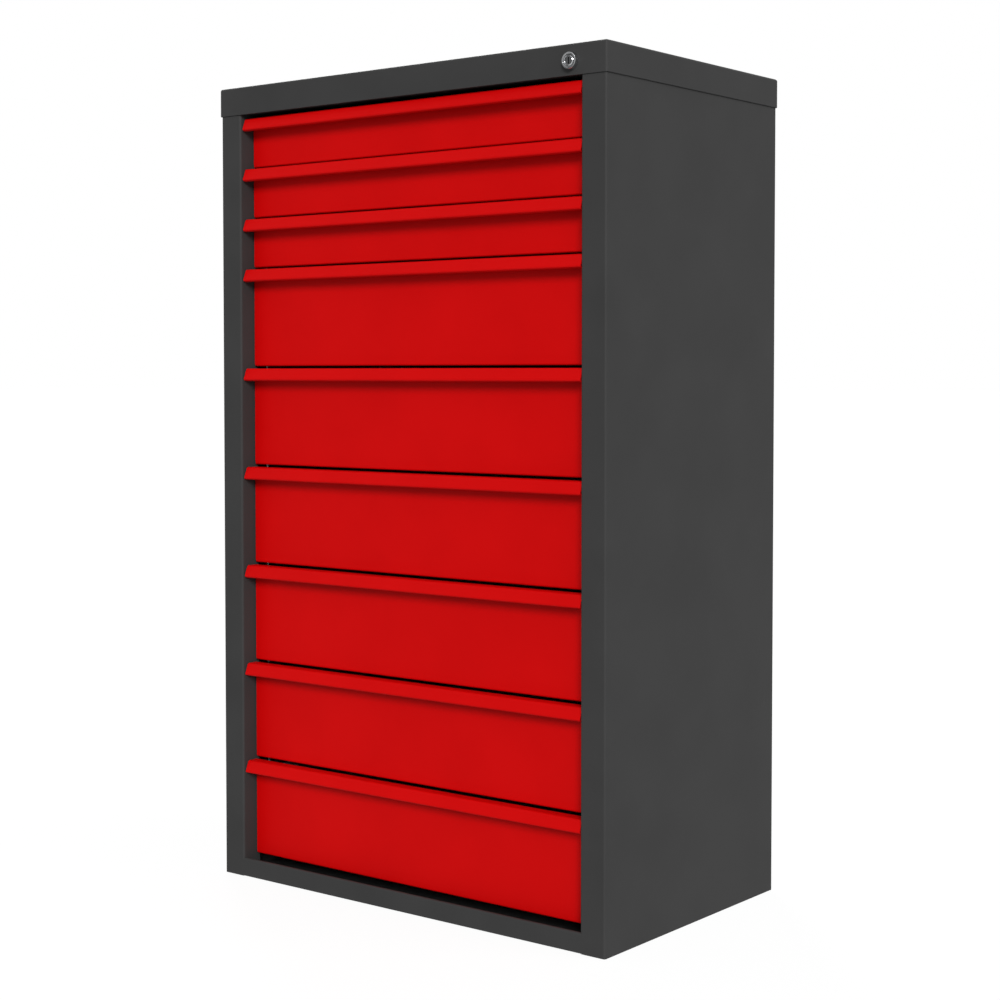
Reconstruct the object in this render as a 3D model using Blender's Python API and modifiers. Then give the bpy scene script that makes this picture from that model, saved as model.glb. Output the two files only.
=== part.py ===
"""A free-standing steel cabinet with nine drawers and one lock, built as the sheet-metal assembly it is.

The front faces -Y, +X is to the right of someone facing the front, +Z is up, and the origin is on the floor
under the middle of the housing. Everything is in metres. Each moving group hangs from an empty on its
joint's axis: one for each drawer, one for the middle slide members of each drawer, one for the lock's
plug and one for the locking bar.
"""

import math

import bmesh
import bpy
from mathutils import Matrix

# ---- Driving dimensions -------------------------------------------------------------------------------
HOUSING_WIDTH = 0.600
HOUSING_DEPTH = 0.364
HEIGHT = 1.008
SHEET = 0.0012
CLEARANCE = 0.0003

# Front frame: the folded posts at each side of the opening, and the rails above and below it.
POST_WIDTH = 0.034
POST_DEPTH = 0.030
POST_RETURN = 0.026
REAR_FLANGE = 0.016
TOP_RAIL_BOTTOM = 0.974
BOTTOM_RAIL_TOP = 0.0235
TOP_RAIL_FLANGE = 0.016
BOTTOM_RAIL_RETURN = 0.004
BASE_HEIGHT = 0.010

# Lid: a shallow pan turned over the top of the housing, with a skirt all round.
LID_SKIRT = 0.035

# Drawers, from the top: three shallow ones and six of about twice the pitch.
SHALLOW_COUNT = 3
DEEP_COUNT = 6
DEEP_PITCH = 0.1258
SHALLOW_PITCH = 0.0635
DRAWER_GAP = 0.003
TOP_GRIP_HEIGHT = 0.9685

# Each drawer's front stands back in the opening, and its grip strip comes forward to the frame's face.
FRONT_RECESS = 0.022
FRONT_SIDE_GAP = 0.002
GRIP_TOP_DEPTH = 0.0152
GRIP_LEAN = 0.0053
GRIP_HEIGHT = 0.0136
GRIP_HEM = 0.0044
GRIP_HEM_DROP = 0.0012
FRONT_RETURN = 0.010

# Each drawer's box, behind its front.
BOX_HALF_WIDTH = 0.253
BOX_SHEET = 0.001
BOX_REAR = 0.162
BOX_FLOOR_RISE = 0.003
BOX_TOP_DROP = 0.010

# Slides of three members, nested in each other beside the box.
SLIDE_FRONT = -0.139
SLIDE_REAR = 0.162
SLIDE_RISE = 0.0215
SLIDE_SHEET = 0.0012
# Each member's web, the edge of its lips, and half its height, in the middle of the sheet.
FIXED_MEMBER = (0.2654, 0.2580, 0.0169)
MIDDLE_MEMBER = (0.2629, 0.2560, 0.0126)
INNER_MEMBER = (0.2534, 0.2605, 0.0090)

# Uprights that stand off the side walls and carry the fixed members.
UPRIGHT_SPANS = {"front": (-0.136, -0.112), "rear": (0.128, 0.152)}
UPRIGHT_FOOT = 0.012
UPRIGHT_BOTTOM = 0.022
UPRIGHT_TOP = 0.962

# Lock, locking bar and the catches that the bar holds.
LOCK_X = 0.254
LOCK_Z = 0.9885
LOCK_FACE_RADIUS = 0.0095
LOCK_PROJECTION = 0.0059
LOCK_BARREL_RADIUS = 0.008
LOCK_BORE_RADIUS = 0.006
PLUG_RADIUS = 0.0057
LOCK_HOLE_RADIUS = 0.0083
NUT_ACROSS_FLATS = 0.020
PIN_OFFSET = 0.0085
PIN_RADIUS = 0.0025
CAM_RADIUS = 0.0113
BAR_INNER = 0.268
BAR_OUTER = 0.283
BAR_BOTTOM = 0.045
BAR_TOP = 1.004
BAR_FRONT = -0.1506
BAR_REAR = -0.1476
BAR_HEAD_REACH = 0.252
BAR_HEAD_HEIGHT = 0.020
TOOTH_REACH = 0.2565
TOOTH_HEIGHT = 0.005
TOOTH_DROP = 0.0165
CATCH_REACH = 0.2615
CATCH_DEPTH = 0.003
CATCH_HEIGHT = 0.0045
CATCH_DROP = 0.0015
GUIDE_HEIGHTS = (0.080, 0.520, 0.930)
GUIDE_HEIGHT = 0.014

# ---- Places worked out from them ----------------------------------------------------------------------
HALF_WIDTH = HOUSING_WIDTH / 2
FACE = -HOUSING_DEPTH / 2
BACK = HOUSING_DEPTH / 2
OPENING = HALF_WIDTH - POST_WIDTH
WALL_INNER = HALF_WIDTH - SHEET
LID_INSIDE = CLEARANCE
LID_UNDERSIDE = HEIGHT - SHEET
HOUSING_TOP = LID_UNDERSIDE - CLEARANCE
FRONT_FACE = FACE + FRONT_RECESS
BASE_FRONT = FACE + POST_DEPTH + 0.001
# The pin stands at 45 degrees above the plug's axis when unlocked and 45 degrees below it when locked.
BAR_TRAVEL = PIN_OFFSET * math.sqrt(2)

RED = (0.56, 0.0021, 0.0024)
ANTHRACITE = (0.051, 0.051, 0.051)
GREY = (0.26, 0.27, 0.28)
ZINC = (0.62, 0.63, 0.65)
CHROME = (0.80, 0.80, 0.82)


def drawer_rows():
    """(number, bottom, top) of each drawer front, from the top drawer down."""
    rows = []
    top = TOP_GRIP_HEIGHT
    for number in range(1, SHALLOW_COUNT + DEEP_COUNT + 1):
        pitch = SHALLOW_PITCH if number <= SHALLOW_COUNT else DEEP_PITCH
        rows.append((number, top - pitch + DRAWER_GAP, top))
        top -= pitch
    return rows


# ---- Ways of making things ----------------------------------------------------------------------------
def start_empty():
    for thing in list(bpy.data.objects):
        bpy.data.objects.remove(thing, do_unlink=True)


def new_collection(name):
    collection = bpy.data.collections.new(name)
    bpy.context.scene.collection.children.link(collection)
    return collection


def new_finish(name, colour, roughness, metallic):
    finish = bpy.data.materials.new(name)
    finish.use_nodes = True
    shader = finish.node_tree.nodes["Principled BSDF"]
    shader.inputs["Base Color"].default_value = (*colour, 1)
    shader.inputs["Roughness"].default_value = roughness
    shader.inputs["Metallic"].default_value = metallic
    finish.diffuse_color = (*colour, 1)
    return finish


def place(name, shape, finish=None, parent=None, cutter=False):
    """An object from a bmesh whose points are measured from its parent, or from the floor's middle."""
    mesh = bpy.data.meshes.new(name)
    bmesh.ops.recalc_face_normals(shape, faces=shape.faces)
    shape.to_mesh(mesh)
    shape.free()
    thing = bpy.data.objects.new(name, mesh)
    (cutters if cutter else cabinet).objects.link(thing)
    thing.parent = parent
    if cutter:
        thing.hide_render = True
        thing.display_type = "WIRE"
    if finish:
        # Its own copy of the finish, named for the piece.
        own = finish.copy()
        own.name = name + "_finish"
        mesh.materials.append(own)
    return thing


def axis_empty(name, location):
    empty = bpy.data.objects.new(name, None)
    empty.location = location
    empty.empty_display_size = 0.03
    cabinet.objects.link(empty)
    return empty


def thicken(thing, thickness, offset):
    solidify = thing.modifiers.new("sheet", "SOLIDIFY")
    solidify.thickness = thickness
    solidify.offset = offset
    solidify.use_even_offset = True


def bent_sheet(name, path, along, span, finish=None, thickness=SHEET, **options):
    """Sheet metal folded along a path, which is the middle of its thickness, and as long as span.

    along is the axis that the folds run along. The path's points are the other two coordinates, in order.
    """
    shape = bmesh.new()
    others = [axis for axis in range(3) if axis != along]
    points = []
    for pair in path:
        where = [0.0, 0.0, 0.0]
        where[along] = span[0]
        where[others[0]], where[others[1]] = pair
        points.append(shape.verts.new(where))
    folds = [shape.edges.new(ends) for ends in zip(points, points[1:])]
    swept = bmesh.ops.extrude_edge_only(shape, edges=folds)["geom"]
    reach = [0.0, 0.0, 0.0]
    reach[along] = span[1] - span[0]
    moved = [part for part in swept if isinstance(part, bmesh.types.BMVert)]
    bmesh.ops.translate(shape, verts=moved, vec=reach)
    thing = place(name, shape, finish, **options)
    thicken(thing, thickness, 0)
    return thing


def block_shape(low, high):
    shape = bmesh.new()
    bmesh.ops.create_cube(shape, size=1)
    bmesh.ops.scale(shape, verts=shape.verts, vec=[b - a for a, b in zip(low, high)])
    bmesh.ops.translate(shape, verts=shape.verts, vec=[(a + b) / 2 for a, b in zip(low, high)])
    return shape


def block(name, low, high, finish=None, **options):
    return place(name, block_shape(low, high), finish, **options)


def pan(name, low, high, open_side, finish, thickness=SHEET, **options):
    """A box with no top or no bottom, of sheet folded inside its outer size. open_side is +1 or -1."""
    shape = block_shape(low, high)
    missing = [face for face in shape.faces if face.normal.z * open_side > 0.5]
    bmesh.ops.delete(shape, geom=missing, context="FACES_ONLY")
    thing = place(name, shape, finish, **options)
    thicken(thing, thickness, -1)
    return thing


def round_bar(name, x, z, front, rear, radius, finish=None, sides=24, turn=0.0, **options):
    """A cylinder, or a hexagon where sides is 6, lying along Y."""
    shape = bmesh.new()
    bmesh.ops.create_cone(
        shape, cap_ends=True, segments=sides, radius1=radius, radius2=radius, depth=rear - front
    )
    lay_down = Matrix.Rotation(math.radians(90), 4, "X") @ Matrix.Rotation(turn, 4, "Z")
    bmesh.ops.transform(shape, matrix=lay_down, verts=shape.verts)
    bmesh.ops.translate(shape, verts=shape.verts, vec=(x, (front + rear) / 2, z))
    return place(name, shape, finish, **options)


def combine(thing, other, operation):
    change = thing.modifiers.new(operation.lower() + "_" + other.name, "BOOLEAN")
    change.operation = operation
    change.object = other


def cut(thing, other):
    combine(thing, other, "DIFFERENCE")


def join(thing, other):
    combine(thing, other, "UNION")


# ---- Housing ------------------------------------------------------------------------------------------
def make_side_panel(name, side):
    """One sheet: the wall, a box-folded post at the front and a flange for the back panel at the rear."""
    half = SHEET / 2
    plan = [
        (OPENING + POST_RETURN, FACE + POST_DEPTH),
        (OPENING + half, FACE + POST_DEPTH),
        (OPENING + half, FACE + half),
        (HALF_WIDTH - half, FACE + half),
        (HALF_WIDTH - half, BACK - half),
        (HALF_WIDTH - REAR_FLANGE, BACK - half),
    ]
    bent_sheet(name, [(side * x, y) for x, y in plan], 2, (0, HOUSING_TOP), anthracite)


def make_back_panel():
    rear = BACK - SHEET - CLEARANCE
    reach = WALL_INNER - CLEARANCE
    block("back_panel", (-reach, rear - SHEET, 0.002), (reach, rear, HOUSING_TOP - 0.001), anthracite)


def make_base_pan():
    reach = WALL_INNER - CLEARANCE
    rear = BACK - 2 * SHEET - 2 * CLEARANCE - 0.0002
    pan("base_pan", (-reach, BASE_FRONT, 0), (reach, rear, BASE_HEIGHT), 1, anthracite)


def make_rails():
    """The two folded rails that close the front frame between the posts. The lower one is a low plate
    whose floor flange reaches back to the base pan, and it is open behind."""
    reach = OPENING - CLEARANCE
    half = SHEET / 2
    inside = FACE + FRONT_RECESS
    top = [
        (inside, TOP_RAIL_BOTTOM + half),
        (FACE + half, TOP_RAIL_BOTTOM + half),
        (FACE + half, HOUSING_TOP - half),
        (FACE + TOP_RAIL_FLANGE, HOUSING_TOP - half),
    ]
    bottom = [
        (BASE_FRONT - 0.0005, half),
        (FACE + half, half),
        (FACE + half, BOTTOM_RAIL_TOP - half),
        (FACE + BOTTOM_RAIL_RETURN, BOTTOM_RAIL_TOP - half),
    ]
    rail = bent_sheet("front_top_rail", top, 0, (-reach, reach), anthracite)
    bent_sheet("front_bottom_rail", bottom, 0, (-reach, reach), anthracite)
    cut(rail, lock_hole)


def make_lid():
    side = HALF_WIDTH + LID_INSIDE + SHEET
    front = BACK + LID_INSIDE + SHEET
    lid = pan("top_cover", (-side, -front, HEIGHT - LID_SKIRT), (side, front, HEIGHT), -1, anthracite)
    cut(lid, lock_hole)


def slide_channel(name, side, member, span, middle, finish=None, **options):
    """A C-shaped slide member, its web at one x and its two lips reaching to another."""
    web, lips, half_height = member
    path = [(lips, middle + half_height), (web, middle + half_height)]
    path += [(x, 2 * middle - z) for x, z in reversed(path)]
    path = [(side * x, z) for x, z in path]
    return bent_sheet(name, path, 1, span, finish, SLIDE_SHEET, **options)


def make_runner_bank(name, side):
    """Two uprights that stand off the side wall, with the nine fixed slide members welded to them."""
    foot = WALL_INNER - CLEARANCE - SHEET / 2
    uprights = []
    for label, (front, rear) in UPRIGHT_SPANS.items():
        plan = [
            (foot, front - UPRIGHT_FOOT),
            (foot, front),
            (OPENING, front),
            (OPENING, rear),
            (foot, rear),
            (foot, rear + UPRIGHT_FOOT),
        ]
        plan = [(side * x, y) for x, y in plan]
        cutter = label == "rear"
        own_name = name if label == "front" else name + "_rear_upright"
        reach = (UPRIGHT_BOTTOM, UPRIGHT_TOP)
        uprights.append(bent_sheet(own_name, plan, 2, reach, None if cutter else zinc, cutter=cutter))
    bank = uprights[0]
    span = (SLIDE_FRONT, SLIDE_REAR)
    for number, bottom, _ in drawer_rows():
        member = slide_channel(
            f"{name}_member_{number}", side, FIXED_MEMBER, span, bottom + SLIDE_RISE, cutter=True
        )
        join(bank, member)
    join(bank, uprights[1])


# ---- Drawers ------------------------------------------------------------------------------------------
def make_drawer_front(number, height, parent):
    """One sheet: a return under the front, the front itself, and the grip strip folded over its top."""
    half = SHEET / 2
    grip_front = -GRIP_TOP_DEPTH + half
    path = [
        (FRONT_RETURN, half),
        (half, half),
        (half, height - half),
        (grip_front, height - half),
        (grip_front - GRIP_LEAN, height - half - GRIP_HEIGHT),
        (grip_front - GRIP_LEAN + GRIP_HEM, height - half - GRIP_HEIGHT - GRIP_HEM_DROP),
    ]
    reach = OPENING - FRONT_SIDE_GAP
    bent_sheet(f"drawer_front_{number}", path, 0, (-reach, reach), red, parent=parent)


def make_drawer_box(number, height, parent):
    """An open steel box with the inner slide members and the lock's catch fixed to its sides."""
    front = SHEET + CLEARANCE
    rear = BOX_REAR - FRONT_FACE
    floor = BOX_FLOOR_RISE
    rim = height - BOX_TOP_DROP
    low = (-BOX_HALF_WIDTH, front, floor)
    high = (BOX_HALF_WIDTH, rear, rim)
    box = pan(f"drawer_box_{number}", low, high, 1, grey, BOX_SHEET, parent=parent)
    span = (SLIDE_FRONT - FRONT_FACE, rear)
    for label, side in SIDES:
        member = slide_channel(
            f"drawer_box_{number}_member_{label}", side, INNER_MEMBER, span, SLIDE_RISE,
            parent=parent, cutter=True,
        )
        join(box, member)
    catch_front = BAR_REAR + 0.0007 - FRONT_FACE
    catch = block(
        f"drawer_box_{number}_catch",
        (BOX_HALF_WIDTH - BOX_SHEET / 2, catch_front, rim - CATCH_DROP - CATCH_HEIGHT),
        (CATCH_REACH, catch_front + CATCH_DEPTH, rim - CATCH_DROP),
        parent=parent,
        cutter=True,
    )
    join(box, catch)


def make_drawers():
    for number, bottom, top in drawer_rows():
        drawer_axis = axis_empty(f"drawer_{number}", (0, FRONT_FACE, bottom))
        stage_axis = axis_empty(f"slide_stage_{number}", (0, SLIDE_FRONT, bottom + SLIDE_RISE))
        make_drawer_front(number, top - bottom, drawer_axis)
        make_drawer_box(number, top - bottom, drawer_axis)
        length = SLIDE_REAR - SLIDE_FRONT
        for label, side in SIDES:
            slide_channel(
                f"slide_middle_{label}_{number}", side, MIDDLE_MEMBER, (0, length), 0, zinc,
                parent=stage_axis,
            )


# ---- Lock ---------------------------------------------------------------------------------------------
def make_lock():
    lid_face = -BACK - LID_INSIDE - SHEET
    rosette_rear = lid_face - CLEARANCE
    face = rosette_rear - LOCK_PROJECTION
    barrel_rear = FACE + 0.022

    housing = round_bar("lock_housing", LOCK_X, LOCK_Z, face, rosette_rear, LOCK_FACE_RADIUS, chrome)
    bevel = housing.modifiers.new("rim", "BEVEL")
    bevel.width = 0.0008
    bevel.segments = 2
    bevel.limit_method = "ANGLE"
    barrel = round_bar(
        "lock_barrel", LOCK_X, LOCK_Z, rosette_rear - 0.001, barrel_rear, LOCK_BARREL_RADIUS, cutter=True
    )
    bore = round_bar(
        "lock_bore", LOCK_X, LOCK_Z, face - 0.01, barrel_rear + 0.01, LOCK_BORE_RADIUS, cutter=True
    )
    join(housing, barrel)
    cut(housing, bore)

    rail_inside = FACE + SHEET
    nut = round_bar(
        "lock_nut", LOCK_X, LOCK_Z, rail_inside + CLEARANCE, rail_inside + 0.0043,
        NUT_ACROSS_FLATS / 2 / math.cos(math.pi / 6), zinc, sides=6,
    )
    nut_bore = round_bar(
        "lock_nut_bore", LOCK_X, LOCK_Z, rail_inside - 0.01, rail_inside + 0.02, LOCK_HOLE_RADIUS,
        cutter=True,
    )
    cut(nut, nut_bore)

    # The plug, its cam and the screw that holds the cam turn together.
    plug_axis = axis_empty("lock_plug_axis", (LOCK_X, face, LOCK_Z))
    plug_front = 0.0003
    plug_rear = barrel_rear + 0.0033 - face
    plug = round_bar("lock_plug", 0, 0, plug_front, plug_rear, PLUG_RADIUS, chrome, parent=plug_axis)
    keyway = block(
        "keyway", (-0.0008, plug_front - 0.005, -0.0038), (0.0008, plug_front + 0.008, 0.0038),
        parent=plug_axis, cutter=True,
    )
    cut(plug, keyway)
    cam_front = plug_rear + CLEARANCE
    cam_rear = cam_front + 0.003
    cam = round_bar("lock_cam", 0, 0, cam_front, cam_rear, CAM_RADIUS, zinc, parent=plug_axis)
    pin_place = PIN_OFFSET * math.sqrt(0.5)
    pin = round_bar(
        "cam_pin", pin_place, pin_place, cam_front + 0.0015, BAR_REAR + 0.0005 - face, PIN_RADIUS,
        sides=16, parent=plug_axis, cutter=True,
    )
    join(cam, pin)
    round_bar(
        "cam_screw", -0.0006, -0.0006, cam_rear + CLEARANCE, cam_rear + 0.0024, 0.0042, zinc, sides=16,
        parent=plug_axis,
    )


def make_locking_bar():
    """A strip behind the right post: a head driven by the cam's pin, and a tooth for each drawer."""
    bar_axis = axis_empty("locking_bar_axis", (BAR_INNER, BAR_FRONT, BAR_TOP))
    thickness = BAR_REAR - BAR_FRONT
    bar = block(
        "locking_bar", (0, 0, BAR_BOTTOM - BAR_TOP), (BAR_OUTER - BAR_INNER, thickness, 0), zinc,
        parent=bar_axis,
    )
    head = block(
        "locking_bar_head",
        (BAR_HEAD_REACH - BAR_INNER, 0, -BAR_HEAD_HEIGHT),
        (0.004, thickness, 0),
        parent=bar_axis,
        cutter=True,
    )
    join(bar, head)
    for number, _, top in drawer_rows():
        # Locked, the tooth stands in front of the drawer's catch; unlocked, it is above it.
        tooth_bottom = top - TOOTH_DROP + BAR_TRAVEL - BAR_TOP
        tooth = block(
            f"locking_bar_tooth_{number}",
            (TOOTH_REACH - BAR_INNER, 0, tooth_bottom),
            (0.004, thickness, tooth_bottom + TOOTH_HEIGHT),
            parent=bar_axis,
            cutter=True,
        )
        join(bar, tooth)
    pin_height = LOCK_Z + PIN_OFFSET * math.sqrt(0.5) - BAR_TOP
    slot = block(
        "pin_slot",
        (TOOTH_REACH - BAR_INNER, -0.01, pin_height - 0.003),
        (0.2665 - BAR_INNER, thickness + 0.01, pin_height + 0.003),
        parent=bar_axis,
        cutter=True,
    )
    cut(bar, slot)


def make_bar_guides():
    """Clips on the right post that keep the locking bar against it."""
    for number, low in enumerate(GUIDE_HEIGHTS, start=1):
        plan = [(0.2915, -0.1505), (0.2842, -0.1505), (0.2842, -0.1465), (0.269, -0.1465)]
        bent_sheet(f"bar_guide_{number}", plan, 2, (low, low + GUIDE_HEIGHT), zinc)


# ---- The cabinet --------------------------------------------------------------------------------------
start_empty()
cabinet = new_collection("drawer_cabinet")
cutters = new_collection("cutters")
anthracite = new_finish("anthracite_powder_coat", ANTHRACITE, 0.55, 0.0)
red = new_finish("red_powder_coat", RED, 0.45, 0.0)
grey = new_finish("grey_powder_coat", GREY, 0.50, 0.0)
zinc = new_finish("zinc_plated_steel", ZINC, 0.35, 1.0)
chrome = new_finish("chrome_plated_zinc", CHROME, 0.12, 1.0)
SIDES = (("left", -1), ("right", 1))

lock_hole = round_bar("lock_hole", LOCK_X, LOCK_Z, FACE - 0.02, FACE + 0.008, LOCK_HOLE_RADIUS, cutter=True)

for label, side in SIDES:
    make_side_panel("side_panel_" + label, side)
    make_runner_bank("runner_bank_" + label, side)
make_back_panel()
make_base_pan()
make_rails()
make_lid()
make_drawers()
make_lock()
make_locking_bar()
make_bar_guides()
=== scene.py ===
import math

import bmesh
import bpy
from mathutils import Matrix, Vector


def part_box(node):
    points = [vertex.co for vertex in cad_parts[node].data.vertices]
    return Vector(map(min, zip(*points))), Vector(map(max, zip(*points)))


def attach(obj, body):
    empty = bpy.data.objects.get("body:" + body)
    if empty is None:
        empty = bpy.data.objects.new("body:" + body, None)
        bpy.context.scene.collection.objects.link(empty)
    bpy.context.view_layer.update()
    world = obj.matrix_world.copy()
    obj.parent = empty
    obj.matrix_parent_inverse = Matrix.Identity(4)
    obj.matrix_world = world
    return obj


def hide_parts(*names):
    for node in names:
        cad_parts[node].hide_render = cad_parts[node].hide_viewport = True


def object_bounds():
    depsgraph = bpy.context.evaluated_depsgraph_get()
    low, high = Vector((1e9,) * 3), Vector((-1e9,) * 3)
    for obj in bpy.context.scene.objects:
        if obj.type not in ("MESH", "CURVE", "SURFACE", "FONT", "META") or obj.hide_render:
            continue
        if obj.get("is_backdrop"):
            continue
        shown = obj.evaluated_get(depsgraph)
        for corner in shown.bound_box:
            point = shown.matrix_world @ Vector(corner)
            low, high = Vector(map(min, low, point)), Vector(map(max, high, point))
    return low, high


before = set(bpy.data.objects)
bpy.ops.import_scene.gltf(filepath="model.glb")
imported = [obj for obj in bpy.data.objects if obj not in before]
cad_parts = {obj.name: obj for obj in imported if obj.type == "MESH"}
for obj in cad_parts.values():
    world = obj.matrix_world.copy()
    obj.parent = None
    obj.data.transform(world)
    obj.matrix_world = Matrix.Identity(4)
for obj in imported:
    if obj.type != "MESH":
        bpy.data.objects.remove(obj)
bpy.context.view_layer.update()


# ---- Side panels ----------------------------------------------------------------------------------
# Each side is one sheet of 1.2 mm steel: the wall, the post that frames the drawers, folded back into
# a box at the front, and a narrow flange at the rear. It is bent on a press brake, welded to the rest
# of the housing and powder coated in anthracite.
SHEET = 0.0012
HALF_SHEET = SHEET / 2
POST_DEPTH = 0.0294
POST_RETURN = 0.0254
REAR_FLANGE = 0.0154
PANEL_FOLD = 0.0022
LEAST_FOLD = 0.3


def linear(code):
    """An sRGB hex colour, such as "3C3C3C", as the linear colour that a shader takes."""
    parts = [int(code[i : i + 2], 16) / 255 for i in (0, 2, 4)]
    return [p / 12.92 if p <= 0.04045 else ((p + 0.055) / 1.055) ** 2.4 for p in parts] + [1]


def new_material(name):
    """An empty material with its Principled shader joined to the output."""
    material = bpy.data.materials.new(name)
    material.use_nodes = True
    return material, material.node_tree.nodes["Principled BSDF"]


def add_node(material, kind, settings=None, **links):
    """Adds a node. A setting names a property or an input; a link gives an input its source socket."""
    node = material.node_tree.nodes.new("ShaderNode" + kind)
    for name, value in (settings or {}).items():
        if name in node.inputs:
            node.inputs[name].default_value = value
        else:
            setattr(node, name, value)
    for name, source in links.items():
        material.node_tree.links.new(source, node.inputs[name.replace("_", " ")])
    return node


def link(material, source, shader, name):
    material.node_tree.links.new(source, shader.inputs[name])


def powder_coat(name, dark, light, roughness):
    """Satin polyester powder baked onto steel. It flows out into a fine orange peel about 1.5 mm across,
    drawn over a grain of 0.4 mm, with a colour that hardly varies over the panel."""
    material, shader = new_material(name)
    place = add_node(material, "TexCoord").outputs["Object"]
    cloud = add_node(material, "TexNoise", {"Scale": 1 / 0.09, "Detail": 3.0}, Vector=place)
    tint = add_node(material, "ValToRGB", Fac=cloud.outputs["Fac"])
    tint.color_ramp.elements[0].position = 0.35
    tint.color_ramp.elements[0].color = linear(dark)
    tint.color_ramp.elements[1].position = 0.65
    tint.color_ramp.elements[1].color = linear(light)
    peel = add_node(material, "TexNoise", {"Scale": 1 / 0.0015, "Detail": 1.0}, Vector=place)
    grain = add_node(material, "TexNoise", {"Scale": 1 / 0.0004, "Detail": 0.0}, Vector=place)
    soft = add_node(material, "Bump", {"Strength": 0.10, "Distance": 0.0004}, Height=peel.outputs["Fac"])
    fine = add_node(
        material, "Bump", {"Strength": 0.06, "Distance": 0.0001},
        Height=grain.outputs["Fac"], Normal=soft.outputs["Normal"],
    )
    gloss = add_node(
        material, "MapRange", {"To Min": roughness - 0.04, "To Max": roughness + 0.06},
        Value=cloud.outputs["Fac"],
    )
    link(material, tint.outputs["Color"], shader, "Base Color")
    link(material, gloss.outputs["Result"], shader, "Roughness")
    link(material, fine.outputs["Normal"], shader, "Normal")
    shader.inputs["IOR"].default_value = 1.5
    shader.inputs["Specular IOR Level"].default_value = 0.07
    return material


anthracite = powder_coat("anthracite_powder_coat", "3A3A3A", "3D3D3D", 0.48)


def new_piece(name, shape, material, body, node=None):
    """A piece from a bmesh. It rides on a body, and takes the place of a CAD node if one is named."""
    bmesh.ops.recalc_face_normals(shape, faces=shape.faces)
    mesh = bpy.data.meshes.new(name)
    shape.to_mesh(mesh)
    shape.free()
    mesh.materials.append(material)
    piece = bpy.data.objects.new(name, mesh)
    bpy.context.scene.collection.objects.link(piece)
    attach(piece, body)
    if node:
        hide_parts(node)
    return piece


def weigh_normals(piece):
    weighted = piece.modifiers.new("flat_faces_stay_flat", "WEIGHTED_NORMAL")
    weighted.keep_sharp = True


def settle(piece, edge=0.00025, sharp=35):
    """Applies what has been added so far, eases the cut edges, and keeps flats flat and bends smooth."""
    if edge:
        ease = piece.modifiers.new("eased_edges", "BEVEL")
        ease.width = edge
        ease.segments = 2
        ease.limit_method = "ANGLE"
        ease.angle_limit = math.radians(50)
    bpy.context.view_layer.update()
    evaluated = piece.evaluated_get(bpy.context.evaluated_depsgraph_get())
    mesh = bpy.data.meshes.new_from_object(evaluated)
    spent = piece.data
    piece.modifiers.clear()
    piece.data = mesh
    bpy.data.meshes.remove(spent)
    mesh.name = piece.name
    mesh.shade_smooth()
    mesh.set_sharp_from_angle(angle=math.radians(sharp))
    weigh_normals(piece)
    return piece


def thicken(piece, sheet=SHEET, offset=0):
    """Gives a flat-faced sheet its thickness: half on each side, or all inside where offset is -1."""
    solidify = piece.modifiers.new("sheet", "SOLIDIFY")
    solidify.thickness = sheet
    solidify.offset = offset
    solidify.use_even_offset = True


def round_folds(shape, radius, steps=5):
    """Rounds each edge where two faces meet at an angle, as the press brake leaves it."""
    folds = [e for e in shape.edges if len(e.link_faces) == 2 and e.calc_face_angle() > LEAST_FOLD]
    bmesh.ops.bevel(
        shape, geom=folds, offset=radius, segments=steps, profile=0.5, affect="EDGES", material=-1
    )


def new_verts(made):
    return [part for part in made["geom"] if isinstance(part, bmesh.types.BMVert)]


def folded_strip(path, along, span, radius=0.0016):
    """A strip swept along its folds. The path is the middle of the sheet, in the other two axes."""
    shape = bmesh.new()
    across = [axis for axis in range(3) if axis != along]
    corners = []
    for pair in path:
        where = Vector()
        where[along] = span[0]
        where[across[0]], where[across[1]] = pair
        corners.append(shape.verts.new(where))
    lines = [shape.edges.new(ends) for ends in zip(corners, corners[1:])]
    swept = bmesh.ops.extrude_edge_only(shape, edges=lines)
    reach = Vector()
    reach[along] = span[1] - span[0]
    bmesh.ops.translate(shape, verts=new_verts(swept), vec=reach)
    bmesh.ops.recalc_face_normals(shape, faces=shape.faces)
    round_folds(shape, radius)
    return shape


for label, side in (("left", -1), ("right", 1)):
    low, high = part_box("side_panel_" + label)
    wall = max(abs(low.x), abs(high.x)) - HALF_SHEET
    post_inside = min(abs(low.x), abs(high.x)) + HALF_SHEET
    front, back = low.y + HALF_SHEET, high.y - HALF_SHEET
    plan = [
        (post_inside + POST_RETURN, front + POST_DEPTH),
        (post_inside, front + POST_DEPTH),
        (post_inside, front),
        (wall, front),
        (wall, back),
        (wall - REAR_FLANGE, back),
    ]
    shape = folded_strip([(side * x, y) for x, y in plan], 2, (low.z, high.z), PANEL_FOLD)
    panel = new_piece("side_sheet_" + label, shape, anthracite, "housing", "side_panel_" + label)
    thicken(panel)
    settle(panel)


# ---- Lid ------------------------------------------------------------------------------------------
# The lid is a shallow pan of the same sheet, its corners welded and ground round before coating. It is
# pushed down over the housing, so that its skirt stands one thickness of sheet outside the panels.
LID_FOLD = 0.0030
LOCK_HOLE_RADIUS = 0.0083
LOCK_HOLE_DEPTH = 0.012


def block(low, high):
    shape = bmesh.new()
    size = high - low
    middle = (low + high) / 2
    bmesh.ops.create_cube(shape, size=1, matrix=Matrix.Translation(middle) @ Matrix.Diagonal((*size, 1)))
    return shape


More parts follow.
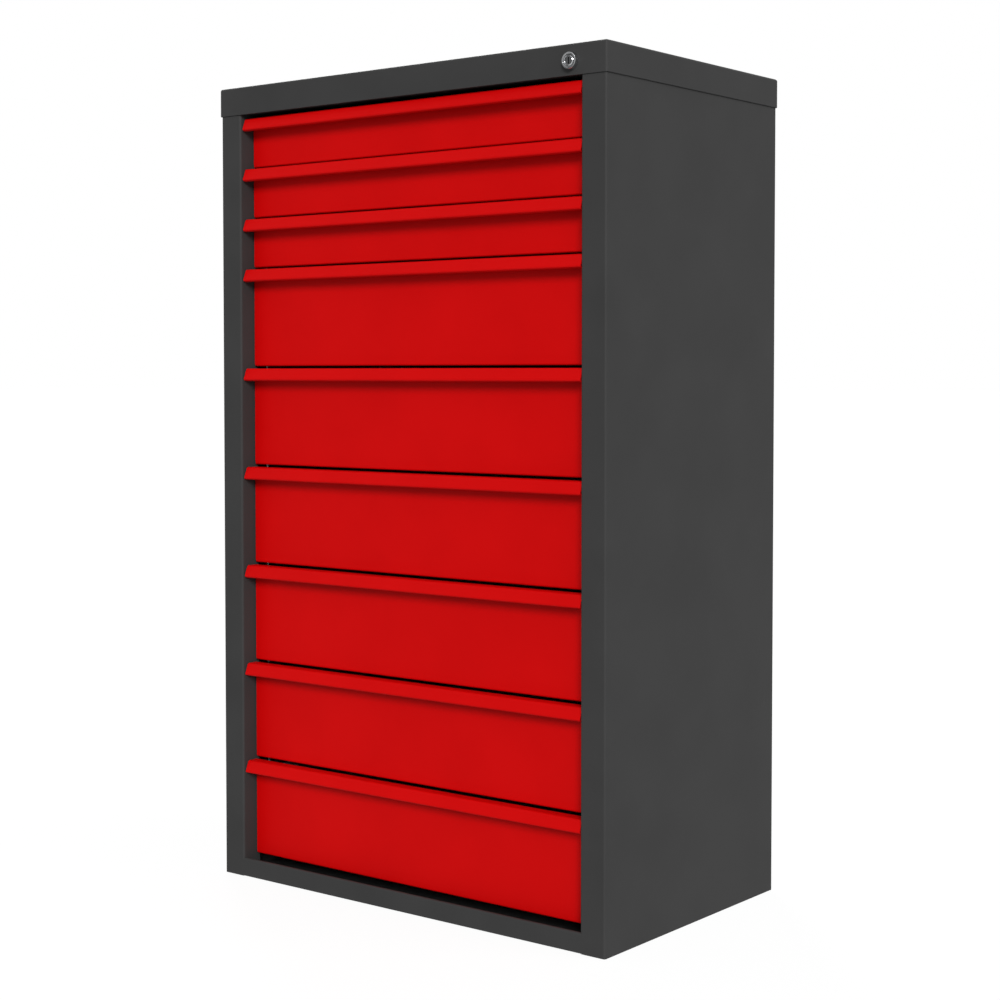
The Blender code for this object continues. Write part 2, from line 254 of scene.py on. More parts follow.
def open_box(low, high, missing, radius, upright_only=False):
    """A box of sheet without its top (missing +1) or its bottom (-1), with rounded folds."""
    shape = block(low, high)
    gone = [face for face in shape.faces if face.normal.z * missing > 0.5]
    bmesh.ops.delete(shape, geom=gone, context="FACES_ONLY")
    if upright_only:
        upright = [e for e in shape.edges if abs(e.verts[0].co.z - e.verts[1].co.z) > 0.001]
        bmesh.ops.bevel(
            shape, geom=upright, offset=radius, segments=6, profile=0.5, affect="EDGES", material=-1
        )
    else:
        round_folds(shape, radius, 4)
    return shape


def cut_away(piece, shape, edge=0.00025, sharp=35):
    """Cuts a shape out of a piece, and settles the piece."""
    bmesh.ops.recalc_face_normals(shape, faces=shape.faces)
    mesh = bpy.data.meshes.new("cutter")
    shape.to_mesh(mesh)
    shape.free()
    cutter = bpy.data.objects.new("cutter", mesh)
    bpy.context.scene.collection.objects.link(cutter)
    hole = piece.modifiers.new("hole", "BOOLEAN")
    hole.operation = "DIFFERENCE"
    hole.object = cutter
    settle(piece, edge, sharp)
    bpy.data.objects.remove(cutter)


def round_bar(place, radius, depth, sides):
    """A bar with flat ends that lies along Y."""
    shape = bmesh.new()
    lay = Matrix.Translation(place) @ Matrix.Rotation(math.radians(90), 4, "X")
    bmesh.ops.create_cone(
        shape, cap_ends=True, segments=sides, radius1=radius, radius2=radius, depth=depth, matrix=lay
    )
    return shape


lock_low, lock_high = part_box("lock_housing")
lock_centre = (lock_low + lock_high) / 2
lock_hole = Vector((lock_centre.x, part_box("front_top_rail")[0].y, lock_centre.z))

low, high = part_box("top_cover")
shape = open_box(low, high, -1, LID_FOLD)
lid = new_piece("lid_pan", shape, anthracite, "housing", "top_cover")
thicken(lid, offset=-1)
cut_away(lid, round_bar(lock_hole, LOCK_HOLE_RADIUS, LOCK_HOLE_DEPTH, 48))


# ---- Front rails ----------------------------------------------------------------------------------
# Two rails folded from the same sheet close the front frame above and below the drawers. The upper one
# carries the lock. The lower one is a low plate, open behind, whose flange lies on the floor. Their
# ends run into the posts' rounded folds, and the flange under the base pan's, where the welds are.
WELD_LAP = 0.0028
TOP_RAIL_FLANGE = 0.016
BOTTOM_RAIL_RETURN = 0.004
low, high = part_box("front_top_rail")
left, right = low.x - WELD_LAP, high.x + WELD_LAP
path = [
    (high.y - HALF_SHEET, low.z + HALF_SHEET),
    (low.y + HALF_SHEET, low.z + HALF_SHEET),
    (low.y + HALF_SHEET, high.z - HALF_SHEET),
    (low.y + TOP_RAIL_FLANGE, high.z - HALF_SHEET),
]
top_rail = new_piece(
    "top_rail", folded_strip(path, 0, (left, right)), anthracite, "housing", "front_top_rail"
)
thicken(top_rail)
cut_away(top_rail, round_bar(lock_hole, LOCK_HOLE_RADIUS, LOCK_HOLE_DEPTH, 48))

low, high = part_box("front_bottom_rail")
path = [
    (high.y + WELD_LAP, low.z + HALF_SHEET),
    (low.y + HALF_SHEET, low.z + HALF_SHEET),
    (low.y + HALF_SHEET, high.z - HALF_SHEET),
    (low.y + BOTTOM_RAIL_RETURN, high.z - HALF_SHEET),
]
bottom_rail = new_piece(
    "bottom_rail", folded_strip(path, 0, (left, right)), anthracite, "housing", "front_bottom_rail"
)
thicken(bottom_rail)
settle(bottom_rail)


# ---- Back panel and base pan ----------------------------------------------------------------------
# The back is one flat sheet behind the rear flanges, and the base is a shallow pan that stands on the
# floor. Both are spot welded in before coating.
BASE_FOLD = 0.0020
settle(new_piece("back_sheet", block(*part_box("back_panel")), anthracite, "housing", "back_panel"))

low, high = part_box("base_pan")
base = new_piece("base_sheet", open_box(low, high, 1, BASE_FOLD), anthracite, "housing", "base_pan")
thicken(base, offset=-1)
settle(base)


# ---- Weld marks -----------------------------------------------------------------------------------
# The rear flanges and the back sheet are joined by spot welds every 100 mm. Each leaves a ring 6 mm
# across, pressed by the electrode, that still shows through the coating.
WELDS = 10
WELD_PITCH = 0.100
FIRST_WELD = 0.050
WELD_INSET = 0.0085
SAME_PLACE = 0.000002


def spin(outline, centre, direction, sides=32):
    """A turned shape from (radius, distance along the direction) points, closed where they reach the axis."""
    shape = bmesh.new()
    axis = Vector(direction).normalized()
    across = axis.orthogonal().normalized()
    centre = Vector(centre)
    verts = [shape.verts.new(centre + across * radius + axis * along) for radius, along in outline]
    edges = [shape.edges.new(pair) for pair in zip(verts, verts[1:])]
    bmesh.ops.spin(
        shape, geom=verts + edges, cent=centre, axis=axis, angle=math.tau, steps=sides, use_merge=True
    )
    bmesh.ops.remove_doubles(shape, verts=shape.verts, dist=SAME_PLACE)
    return shape


def gather(shapes):
    """One bmesh from several."""
    whole = bmesh.new()
    for shape in shapes:
        spare = bpy.data.meshes.new("spare")
        shape.to_mesh(spare)
        shape.free()
        whole.from_mesh(spare)
        bpy.data.meshes.remove(spare)
    return whole


flange_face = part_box("side_panel_left")[1].y
side_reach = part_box("side_panel_right")[1].x
ring = [(0.0, 0.00002), (0.0018, 0.00003), (0.0024, 0.00012), (0.0030, 0.00010), (0.0034, -0.0001)]
marks = [
    spin(
        ring, (side * (side_reach - WELD_INSET), flange_face, FIRST_WELD + WELD_PITCH * row), (0, 1, 0), 20
    )
    for side in (-1, 1)
    for row in range(WELDS)
]
settle(new_piece("flange_weld_marks", gather(marks), anthracite, "housing"), edge=0)


# ---- Drawer fronts --------------------------------------------------------------------------------
# Each front is one sheet in red powder coat. Its top is folded forward and down into a grip strip that
# leans out a little and ends in a small return. Its bottom and sides are turned back 8 to 10 mm, with a
# relief notched out of each corner so that the folds don't meet.
red = powder_coat("red_powder_coat", "C40304", "C80405", 0.44)
GRIP_TOP_DEPTH = 0.0152
GRIP_LEAN = 0.0053
GRIP_HEIGHT = 0.0136
GRIP_HEM = 0.0044
GRIP_HEM_DROP = 0.0012
SIDE_RETURN = 0.008
RELIEF = 0.0035
RELIEF_SLOPE = 0.0005
FRONT_FOLD = 0.0016


def front_shape(low, high):
    """The middle of a front's sheet, flat face by flat face, before its folds are rounded."""
    shape = bmesh.new()
    face = low.y + GRIP_TOP_DEPTH + GRIP_LEAN + HALF_SHEET
    top, bottom = high.z - HALF_SHEET, low.z + HALF_SHEET
    grip_top = face - GRIP_TOP_DEPTH
    grip_low = grip_top - GRIP_LEAN
    reach, turned = high.x, high.x - HALF_SHEET
    ends = []
    for side in (-1, 1):
        points = [
            (reach, high.y, bottom),
            (reach, face, bottom),
            (reach, face, bottom + RELIEF - RELIEF_SLOPE),
            (turned, face, bottom + RELIEF),
            (turned, face, top - RELIEF),
            (reach, face, top - RELIEF + RELIEF_SLOPE),
            (reach, face, top),
            (reach, grip_top, top),
            (reach, grip_low, top - GRIP_HEIGHT),
            (reach, grip_low + GRIP_HEM, top - GRIP_HEIGHT - GRIP_HEM_DROP),
            (turned, face + SIDE_RETURN, bottom + RELIEF),
            (turned, face + SIDE_RETURN, top - RELIEF),
        ]
        ends.append([shape.verts.new((side * x, y, z)) for x, y, z in points])
    left, right = ends
    shape.faces.new([left[0], left[1], right[1], right[0]])
    shape.faces.new(left[1:7] + right[6:0:-1])
    for upper in (6, 7, 8):
        shape.faces.new([left[upper], left[upper + 1], right[upper + 1], right[upper]])
    for end in ends:
        shape.faces.new([end[3], end[10], end[11], end[4]])
    bmesh.ops.recalc_face_normals(shape, faces=shape.faces)
    round_folds(shape, FRONT_FOLD)
    return shape


DRAWERS = range(1, 10)
for number in DRAWERS:
    shape = front_shape(*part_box(f"drawer_front_{number}"))
    front = new_piece(
        f"front_sheet_{number}", shape, red, f"drawer_{number}", f"drawer_front_{number}"
    )
    thicken(front)
    settle(front)


# ---- Drawer boxes ---------------------------------------------------------------------------------
# Each box is folded from 1 mm sheet, welded at its corners and coated in light grey. Its rim is hemmed:
# folded inward and down 8 mm, which hides the cut edge and stiffens the wall.
grey = powder_coat("grey_powder_coat", "8A8C8D", "919394", 0.50)
BOX_SHEET = 0.001
HEM_WIDTH = 0.0023
HEM_DEPTH = 0.008
BOX_HALF_WIDTH = 0.253
BOX_CORNER = 0.0045
BOX_FOLD = 0.0020


def new_edges(made):
    return [part for part in made["geom"] if isinstance(part, bmesh.types.BMEdge)]


def rounded(vert):
    """A vertex's place, rounded so that two vertices in one place share a key."""
    return tuple(round(c, 6) for c in vert.co)


def hemmed_box(low, high):
    """An open box whose rim is folded inward, each rim vertex along its own corner's direction, and down."""
    shape = open_box(low, high, 1, BOX_CORNER, upright_only=True)
    round_folds(shape, BOX_FOLD, 4)
    bmesh.ops.recalc_face_normals(shape, faces=shape.faces)
    shape.normal_update()
    rim = [edge for edge in shape.edges if edge.is_boundary]
    outward = {}
    for vert in {vert for edge in rim for vert in edge.verts}:
        facing = Vector((0, 0, 0))
        for face in vert.link_faces:
            facing += Vector((face.normal.x, face.normal.y, 0))
        outward[rounded(vert)] = facing.normalized()
    over = bmesh.ops.extrude_edge_only(shape, edges=rim)
    for vert in new_verts(over):
        vert.co -= outward[rounded(vert)] * HEM_WIDTH
    down = bmesh.ops.extrude_edge_only(shape, edges=new_edges(over))
    bmesh.ops.translate(shape, verts=new_verts(down), vec=(0, 0, -HEM_DEPTH))
    return shape


for number in DRAWERS:
    low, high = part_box(f"drawer_box_{number}")
    low.x, high.x = -BOX_HALF_WIDTH, BOX_HALF_WIDTH
    box = new_piece(
        f"box_sheet_{number}", hemmed_box(low, high), grey, f"drawer_{number}", f"drawer_box_{number}",
    )
    thicken(box, BOX_SHEET, -1)
    settle(box)


# ---- Slides ---------------------------------------------------------------------------------------
# Each drawer runs on a pair of three-member slides, roll formed from 1.2 mm steel and bright zinc plated.
# The fixed member is on the uprights, the inner one is riveted to the box, and the middle one travels
# half as far as the drawer. Rows of 3 mm and 2.3 mm balls, held in thin cages, run between them.
MEMBER_FOLD = 0.0018
CAGE_FOLD = 0.001
OUTER_CAGE_SHEET = 0.0005
INNER_CAGE_SHEET = 0.0004
CAGE_START = 0.009
CAGE_LENGTH = 0.130
OUTER_BALL_RADIUS = 0.00150
INNER_BALL_RADIUS = 0.00115
OUTER_BALL_X = 0.2602
INNER_BALL_X = 0.2584
BALLS_IN_ROW = 8

# Each of these gives a web, the edge of its lips, and half its height.
FIXED_MEMBER = (0.2654, 0.2580, 0.0169)
MIDDLE_MEMBER = (0.2629, 0.2560, 0.0126)
INNER_MEMBER = (0.2534, 0.2605, 0.0090)
OUTER_CAGE = (0.26415, 0.2578, 0.01475)
INNER_CAGE = (0.2614, 0.2562, 0.0108)


def zinc_plate(name, along):
    """Zinc plate, passivated to a faint blue and straw, with fine drawing lines along the rolled strip."""
    material, shader = new_material(name)
    place = add_node(material, "TexCoord").outputs["Object"]
    cloud = add_node(material, "TexNoise", {"Scale": 1 / 0.035, "Detail": 2.0}, Vector=place)
    tint = add_node(material, "ValToRGB", Fac=cloud.outputs["Fac"])
    tint.color_ramp.elements[0].position = 0.35
    tint.color_ramp.elements[0].color = linear("B9BEC6")
    tint.color_ramp.elements[1].position = 0.7
    tint.color_ramp.elements[1].color = linear("C9C7BC")
    stretch = [1.0, 1.0, 1.0]
    stretch[along] = 0.02
    squeezed = add_node(material, "Mapping", {"Scale": stretch}, Vector=place)
    lines = add_node(
        material, "TexNoise", {"Scale": 1 / 0.0006, "Detail": 2.0}, Vector=squeezed.outputs["Vector"]
    )
    bump = add_node(material, "Bump", {"Strength": 0.15, "Distance": 0.0001}, Height=lines.outputs["Fac"])
    gloss = add_node(
        material, "MapRange", {"To Min": 0.28, "To Max": 0.42}, Value=cloud.outputs["Fac"]
    )
    link(material, tint.outputs["Color"], shader, "Base Color")
    link(material, gloss.outputs["Result"], shader, "Roughness")
    link(material, bump.outputs["Normal"], shader, "Normal")
    shader.inputs["Metallic"].default_value = 1.0
    return material


def polished(name, dark, light, low_gloss, high_gloss):
    """Bright plated or ground metal, its polish a little uneven over a few millimetres."""
    material, shader = new_material(name)
    place = add_node(material, "TexCoord").outputs["Object"]
    cloud = add_node(material, "TexNoise", {"Scale": 1 / 0.004, "Detail": 3.0}, Vector=place)
    tint = add_node(material, "ValToRGB", Fac=cloud.outputs["Fac"])
    tint.color_ramp.elements[0].color = linear(dark)
    tint.color_ramp.elements[1].color = linear(light)
    gloss = add_node(
        material, "MapRange", {"To Min": low_gloss, "To Max": high_gloss}, Value=cloud.outputs["Fac"]
    )
    scratch = add_node(material, "TexNoise", {"Scale": 1 / 0.0008, "Detail": 4.0}, Vector=place)
    bump = add_node(material, "Bump", {"Strength": 0.04, "Distance": 0.00005}, Height=scratch.outputs["Fac"])
    link(material, tint.outputs["Color"], shader, "Base Color")
    link(material, gloss.outputs["Result"], shader, "Roughness")
    link(material, bump.outputs["Normal"], shader, "Normal")
    shader.inputs["Metallic"].default_value = 1.0
    return material


rolled_zinc = zinc_plate("zinc_plated_steel_strip", 1)
ball_steel = polished("ground_ball_steel", "C8CACC", "DADBDD", 0.08, 0.16)


def member_shape(side, member, span, radius=MEMBER_FOLD):
    """The middle of a C-shaped member's sheet, with its height measured from the slide's own middle."""
    web, lips, half_height = member
    path = [(lips, half_height), (web, half_height), (web, -half_height), (lips, -half_height)]
    return folded_strip([(side * x, z) for x, z in path], 1, span, radius)


def ball_rows(side, x, height, radius, span):
    """Two rows of balls, each ball of 48 faces."""
    balls = bmesh.new()
    step = (span[1] - span[0]) / BALLS_IN_ROW
    for row in (-1, 1):
        for place in range(BALLS_IN_ROW):
            where = Vector((side * x, span[0] + step * (place + 0.5), row * height))
            bmesh.ops.create_uvsphere(
                balls, u_segments=8, v_segments=6, radius=radius, matrix=Matrix.Translation(where)
            )
    return balls


def raised_copy(piece, name, height, body):
    """The same piece again at another height, on another body."""
    mesh = piece.data.copy()
    mesh.name = name
    mesh.transform(Matrix.Translation((0, 0, height)))
    twin = bpy.data.objects.new(name, mesh)
    bpy.context.scene.collection.objects.link(twin)
    weigh_normals(twin)
    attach(twin, body)
    return twin


stage_low, stage_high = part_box("slide_middle_right_1")
member_span = (stage_low.y, stage_high.y)
cage_span = (stage_low.y + CAGE_START, stage_low.y + CAGE_START + CAGE_LENGTH)
patterns = {}
for label, side in (("left", -1), ("right", 1)):
    made = {
        "fixed_member": (member_shape(side, FIXED_MEMBER, member_span), SHEET),
        "middle_member": (member_shape(side, MIDDLE_MEMBER, member_span), SHEET),
        "inner_member": (member_shape(side, INNER_MEMBER, member_span), SHEET),
        "outer_cage": (member_shape(side, OUTER_CAGE, cage_span, CAGE_FOLD), OUTER_CAGE_SHEET),
        "inner_cage": (member_shape(side, INNER_CAGE, cage_span, CAGE_FOLD), INNER_CAGE_SHEET),
    }
    for part, (shape, sheet) in made.items():
        pattern = new_piece(f"{part}_{label}", shape, rolled_zinc, "housing")
        thicken(pattern, sheet)
        patterns[part, label] = settle(pattern, edge=0.0002 if sheet == SHEET else 0)
    rows = {
        "outer_balls": ball_rows(side, OUTER_BALL_X, OUTER_CAGE[2], OUTER_BALL_RADIUS, cage_span),
        "inner_balls": ball_rows(side, INNER_BALL_X, INNER_CAGE[2], INNER_BALL_RADIUS, cage_span),
    }
    for part, shape in rows.items():
        pattern = new_piece(f"{part}_{label}", shape, ball_steel, "housing")
        patterns[part, label] = settle(pattern, edge=0, sharp=180)

for number in DRAWERS:
    riders = {
        "fixed_member": "housing",
        "outer_cage": "housing",
        "outer_balls": "housing",
        "middle_member": f"slide_stage_{number}",
        "inner_cage": f"slide_stage_{number}",
        "inner_balls": f"slide_stage_{number}",
        "inner_member": f"drawer_{number}",
    }
    for label in ("left", "right"):
        node = f"slide_middle_{label}_{number}"
        low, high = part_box(node)
        for part, body in riders.items():
            twin = raised_copy(
                patterns[part, label], f"{part}_{label}_{number}", (low.z + high.z) / 2, body
            )
            if part == "middle_member":
                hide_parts(node)
for pattern in patterns.values():
    bpy.data.objects.remove(pattern)


# ---- Uprights -------------------------------------------------------------------------------------
# Two hat-shaped uprights of zinc plated sheet stand off each side wall. Their feet are spot welded to
# the wall, and the fixed slide members are welded across their crowns.
UPRIGHT_SPANS = {"front": (-0.136, -0.112), "rear": (0.128, 0.152)}
UPRIGHT_CROWN = 0.266
UPRIGHT_FOOT = 0.012
UPRIGHT_FOLD = 0.0020
WALL_GAP = 0.0003
upright_zinc = zinc_plate("zinc_plated_steel_upright", 2)
wall_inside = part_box("side_panel_right")[1].x - SHEET - WALL_GAP
for label, side in (("left", -1), ("right", 1)):
    low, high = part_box("runner_bank_" + label)
    foot = wall_inside - HALF_SHEET
    for where, (front, rear) in UPRIGHT_SPANS.items():
        plan = [
            (foot, front - UPRIGHT_FOOT),
            (foot, front),
            (UPRIGHT_CROWN, front),
            (UPRIGHT_CROWN, rear),
            (foot, rear),
            (foot, rear + UPRIGHT_FOOT),
        ]
        shape = folded_strip([(side * x, y) for x, y in plan], 2, (low.z, high.z), UPRIGHT_FOLD)
        upright = new_piece(
            f"upright_{where}_{label}", shape, upright_zinc, "housing", "runner_bank_" + label,
        )
        thicken(upright)
        settle(upright)


# ---- Lock -----------------------------------------------------------------------------------------
# A 19 mm cylinder lock: a die-cast housing with a bevelled rim and a threaded barrel, chrome plated, a
# plug with its keyway, a thin hexagonal nut behind the rail, and a cam whose pin drives the locking bar.
LID_GAP = 0.0003
BARREL_RADIUS = 0.0080
THREAD_PITCH = 0.0010
THREAD_DEPTH = 0.0005
PLUG_RADIUS = 0.0057
KEYWAY = Vector((0.0016, 0.014, 0.0074))
KEYWAY_MIDDLE = 0.001
NUT_CORNER_GAP = 0.0001
NUT_HOLE_DEPTH = 0.02
PIN_OFFSET = 0.0085
PIN_SUNK = 0.0010
chrome = polished("chrome_plated_zinc", "D9DBDD", "E6E7E9", 0.07, 0.15)
lock_front = lock_low.y
collar_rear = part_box("top_cover")[0].y - LID_GAP
barrel_rear = lock_high.y
outline = [
    (0.0060, barrel_rear - lock_front),
    (0.0060, 0.0009),
    (0.0063, 0.0005),
    (0.0066, 0.0004),
    (0.0076, 0.0003),
    (0.0079, 0.0),
    (0.0084, 0.0),
    (0.0092, 0.0003),
    (0.0095, 0.0010),
    (0.0095, collar_rear - lock_front),
    (BARREL_RADIUS, collar_rear - lock_front),
]
thread = outline[-1][1] + 0.6 * THREAD_PITCH
while thread < barrel_rear - lock_front - 1.1 * THREAD_PITCH:
    outline += [
        (BARREL_RADIUS, thread),
        (BARREL_RADIUS - THREAD_DEPTH, thread + 0.4 * THREAD_PITCH),
        (BARREL_RADIUS, thread + 0.8 * THREAD_PITCH),
    ]
    thread += THREAD_PITCH
outline += [(0.0077, barrel_rear - lock_front), outline[0]]
collar = new_piece(
    "lock_collar", spin(outline, (lock_centre.x, lock_front, lock_centre.z), (0, 1, 0), 64), chrome,
    "housing", "lock_housing",
)
settle(collar, edge=0, sharp=30)

plug_low, plug_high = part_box("lock_plug")
plug_length = plug_high.y - plug_low.y
outline = [
    (0.0, 0.0), (0.0050, 0.0), (PLUG_RADIUS, 0.0006), (PLUG_RADIUS, plug_length), (0.0, plug_length),
]
core = new_piece(
    "lock_core", spin(outline, (lock_centre.x, plug_low.y, lock_centre.z), (0, 1, 0), 48), chrome,
    "lock_plug", "lock_plug",
)
keyway_place = Vector((lock_centre.x, plug_low.y + KEYWAY_MIDDLE, lock_centre.z))
keyway = block(keyway_place - KEYWAY / 2, keyway_place + KEYWAY / 2)
cut_away(core, keyway, edge=0.0001, sharp=30)

low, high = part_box("lock_nut")
nut_centre = Vector((lock_centre.x, (low.y + high.y) / 2, lock_centre.z))
hexagon = round_bar(nut_centre, (high.z - low.z) / 2 - NUT_CORNER_GAP, high.y - low.y, 6)
nut = new_piece("lock_hexagon_nut", hexagon, upright_zinc, "housing", "lock_nut")
cut_away(nut, round_bar(nut_centre, LOCK_HOLE_RADIUS, NUT_HOLE_DEPTH, 48))

low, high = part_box("lock_cam")
cam_outline = [
    (0.0, 0.0), (0.0109, 0.0), (0.0113, 0.0004), (0.0113, 0.0026), (0.0109, 0.0030), (0.0, 0.0030),
]
pin_length = high.y - low.y - PIN_SUNK
pin_outline = [
    (0.0, 0.0), (0.0025, 0.0), (0.0025, pin_length - 0.0004), (0.0021, pin_length), (0.0, pin_length),
]
pin_offset = PIN_OFFSET * math.sqrt(0.5)
pin_centre = (lock_centre.x + pin_offset, low.y + PIN_SUNK, lock_centre.z + pin_offset)
cam_parts = [
    spin(cam_outline, (lock_centre.x, low.y, lock_centre.z), (0, 1, 0), 48),
    spin(pin_outline, pin_centre, (0, 1, 0), 24),
]
cam = new_piece("cam_disc", gather(cam_parts), upright_zinc, "lock_plug", "lock_cam")
settle(cam, edge=0, sharp=30)

low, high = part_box("cam_screw")
head = high.y - low.y
head_outline = [(0.0, 0.0), (0.0039, 0.0), (0.0039, head * 0.45), (0.0032, head * 0.85), (0.0, head)]
centre = (low + high) / 2
screw = new_piece(
    "cam_screw_head", spin(head_outline, (centre.x, low.y, centre.z), (0, 1, 0), 24), upright_zinc,
    "lock_plug", "cam_screw",
)
settle(screw, edge=0, sharp=30)


# ---- Locking bar ----------------------------------------------------------------------------------
# A strip of 3 mm zinc plated steel, laser cut with a head for the cam's pin and a tooth for each drawer.
# It slides down inside the right post, in three folded clips.
bar_low, bar_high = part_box("locking_bar")
BAR_INNER = 0.268
TOOTH_EDGE = 0.2565
SLOT_END = 0.2665
SLOT_HALF_HEIGHT = 0.003
HEAD_HEIGHT = 0.020
TOOTH_HEIGHT = 0.005
TOOTH_DROP = 0.0165
BAR_TRAVEL = PIN_OFFSET * math.sqrt(2)
BAR_EDGE = 0.0003
CLIP_REACH = 0.0152
CLIP_FOLD = 0.0012
pin_height = lock_centre.z + pin_offset
columns = [bar_low.x, TOOTH_EDGE, SLOT_END, BAR_INNER, bar_high.x]
tooth_bottoms = [
    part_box(f"drawer_front_{number}")[1].z - (TOOTH_DROP - BAR_TRAVEL) for number in DRAWERS
]
levels = {bar_low.z, bar_high.z, bar_high.z - HEAD_HEIGHT}
levels |= {pin_height - SLOT_HALF_HEIGHT, pin_height + SLOT_HALF_HEIGHT}
for bottom in tooth_bottoms:
    levels |= {bottom, bottom + TOOTH_HEIGHT}
levels = sorted(levels)
shape = bmesh.new()
corners = {
    (x, z): shape.verts.new((x, (bar_low.y + bar_high.y) / 2, z)) for x in columns for z in levels
}
for left, right in zip(columns, columns[1:]):
    for under, over in zip(levels, levels[1:]):
        x, z = (left + right) / 2, (under + over) / 2
        head = z > bar_high.z - HEAD_HEIGHT
        tooth = x > TOOTH_EDGE and any(b < z < b + TOOTH_HEIGHT for b in tooth_bottoms)
        pin_slot = TOOTH_EDGE < x < SLOT_END and abs(z - pin_height) < SLOT_HALF_HEIGHT
        if (x > BAR_INNER or head or tooth) and not pin_slot:
            around = ((left, under), (right, under), (right, over), (left, over))
            shape.faces.new([corners[spot] for spot in around])
bmesh.ops.delete(shape, geom=[v for v in shape.verts if not v.link_faces], context="VERTS")
bar = new_piece("locking_strip", shape, upright_zinc, "locking_bar", "locking_bar")
thicken(bar, bar_high.y - bar_low.y)
settle(bar, edge=BAR_EDGE)

for number in (1, 2, 3):
    low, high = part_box(f"bar_guide_{number}")
    plan = [
        (high.x, low.y + HALF_SHEET),
        (low.x + CLIP_REACH, low.y + HALF_SHEET),
        (low.x + CLIP_REACH, high.y - HALF_SHEET),
        (low.x, high.y - HALF_SHEET),
    ]
    clip = new_piece(
        f"bar_clip_{number}", folded_strip(plan, 2, (low.z, high.z), CLIP_FOLD), upright_zinc, "housing",
        f"bar_guide_{number}",
    )
    thicken(clip)
    settle(clip)


# ---- Lock catches ---------------------------------------------------------------------------------
# A small angle of 1.5 mm zinc plated steel is spot welded outside each box's right wall, just under the
# rim. When the bar is down its tooth stands in front of the angle and holds the drawer shut.
CATCH_SHEET = 0.0015
CATCH_REACH = 0.2615
CATCH_FOOT = 0.010
CATCH_DROP = 0.0015
CATCH_HEIGHT = 0.0045
CATCH_GAP = 0.0007
CATCH_FOLD = 0.0012
catch_front = bar_high.y + CATCH_GAP
for number in DRAWERS:
    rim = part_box(f"drawer_box_{number}")[1].z
    plan = [
        (BOX_HALF_WIDTH + CATCH_SHEET / 2, catch_front + CATCH_FOOT),
        (BOX_HALF_WIDTH + CATCH_SHEET / 2, catch_front + CATCH_SHEET / 2),
        (CATCH_REACH, catch_front + CATCH_SHEET / 2),
    ]
    shape = folded_strip(plan, 2, (rim - CATCH_DROP - CATCH_HEIGHT, rim - CATCH_DROP), CATCH_FOLD)
    catch = new_piece(
        f"lock_catch_{number}", shape, upright_zinc, f"drawer_{number}"
    )
    thicken(catch, CATCH_SHEET)
    settle(catch)


# ---- Studio ---------------------------------------------------------------------------------------
# A white paper floor in a white room. A broad main light, in front and to the right, throws the short
# soft shadow under each grip. Weaker ones from above on the right and from the left reach the rest. What
# the bright metals mirror is darker towards the front left, where the room's one dark wall stands.
paper, shader = new_material("studio_paper")
shader.inputs["Base Color"].default_value = linear("505050")
shader.inputs["Roughness"].default_value = 1.0
shader.inputs["Specular IOR Level"].default_value = 0.0
shader.inputs["Emission Color"].default_value = (1, 1, 1, 1)
shader.inputs["Emission Strength"].default_value = 0.93
shape = bmesh.new()
bmesh.ops.create_grid(shape, x_segments=1, y_segments=1, size=60)
mesh = bpy.data.meshes.new("floor")
shape.to_mesh(mesh)
shape.free()
mesh.materials.append(paper)
floor = bpy.data.objects.new("floor", mesh)
bpy.context.scene.collection.objects.link(floor)
floor.location.z = -0.0005
floor.visible_diffuse = False
floor.visible_glossy = False
floor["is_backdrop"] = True

DARK_WALL = (-0.62, -0.78, 0.0)
LIGHT_SPREAD = math.radians(20)
world = bpy.data.worlds.new("studio")
world.use_nodes = True
nodes = world.node_tree.nodes
links = world.node_tree.links
rays = nodes.new("ShaderNodeLightPath")
direction = nodes.new("ShaderNodeTexCoord")
toward_dark_wall = nodes.new("ShaderNodeVectorMath")
toward_dark_wall.operation = "DOT_PRODUCT"
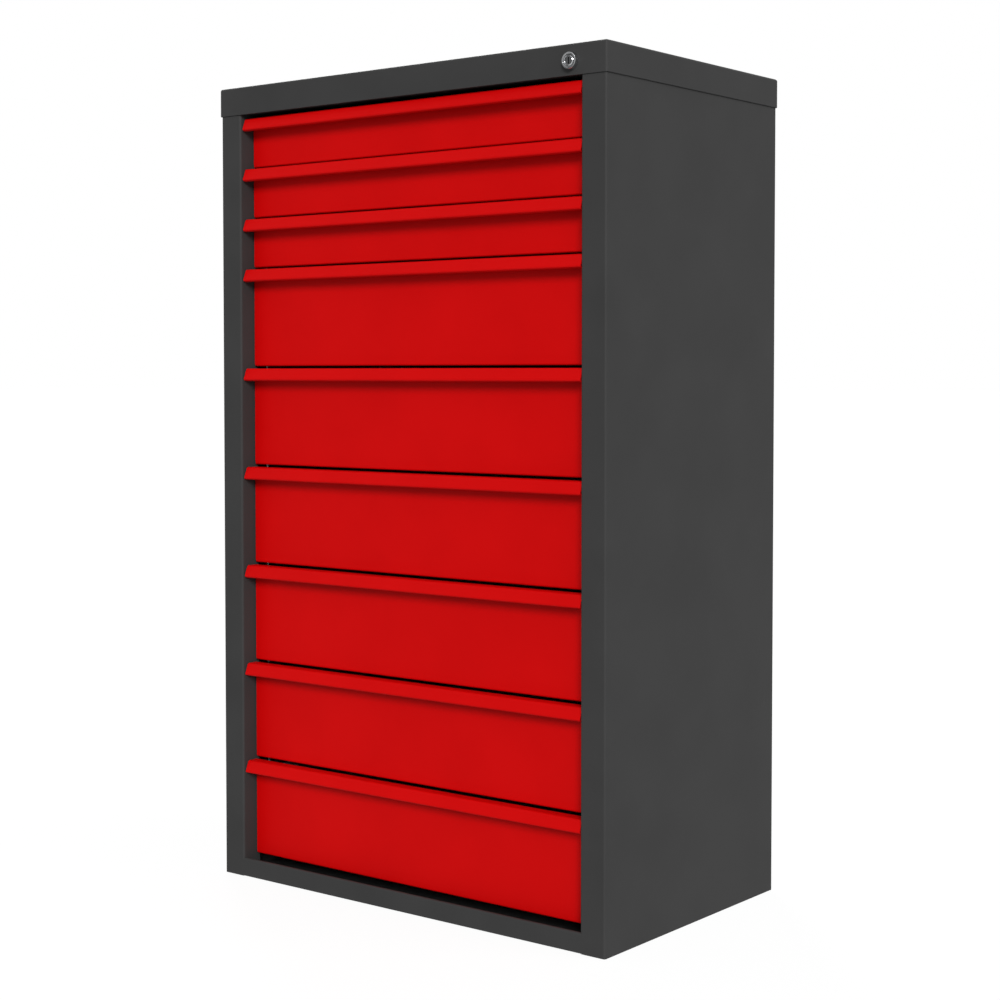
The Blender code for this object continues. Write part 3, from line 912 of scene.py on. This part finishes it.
toward_dark_wall.inputs[1].default_value = DARK_WALL
links.new(direction.outputs["Generated"], toward_dark_wall.inputs[0])
mirrored = nodes.new("ShaderNodeMapRange")
for socket, value in (("From Min", 0.70), ("From Max", 0.95), ("To Min", 0.65), ("To Max", 0.10)):
    mirrored.inputs[socket].default_value = value
links.new(toward_dark_wall.outputs["Value"], mirrored.inputs["Value"])
room = nodes["Background"]
room.inputs["Color"].default_value = (1, 1, 1, 1)
room.inputs["Strength"].default_value = 0.50
for ray in ("Is Glossy Ray", "Is Camera Ray"):
    seen = nodes.new("ShaderNodeBackground")
    seen.inputs["Color"].default_value = (1, 1, 1, 1)
    if ray == "Is Glossy Ray":
        links.new(mirrored.outputs["Result"], seen.inputs["Strength"])
    else:
        seen.inputs["Strength"].default_value = 1.0
    chosen = nodes.new("ShaderNodeMixShader")
    links.new(rays.outputs[ray], chosen.inputs["Fac"])
    links.new(room.outputs[0], chosen.inputs[1])
    links.new(seen.outputs[0], chosen.inputs[2])
    room = chosen
links.new(room.outputs[0], nodes["World Output"].inputs["Surface"])
bpy.context.scene.world = world

for name, source, strength in (
    ("main_light", (0.656, -0.755, 0.44), 2.36),
    ("right_light", (0.50, 0.17, 0.85), 0.50),
    ("left_light", (-0.70, 0.60, 0.40), 1.20),
):
    light = bpy.data.lights.new(name, "SUN")
    light.energy = strength
    light.angle = LIGHT_SPREAD
    lamp = bpy.data.objects.new(name, light)
    bpy.context.scene.collection.objects.link(lamp)
    lamp.rotation_euler = Vector(source).to_track_quat("Z", "Y").to_euler()

camera_data = bpy.data.cameras.new("camera")
camera_data.sensor_width = 36
camera_data.lens = 68.376
camera_data.shift_y = -0.055
camera = bpy.data.objects.new("camera", camera_data)
bpy.context.scene.collection.objects.link(camera)
camera.location = (1.4902, -1.8801, 0.6467)
camera.rotation_euler = (math.radians(90 - 2.177), 0, math.radians(38.222))
bpy.context.scene.camera = camera
bpy.context.scene.view_settings.view_transform = "Standard"

low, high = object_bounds()
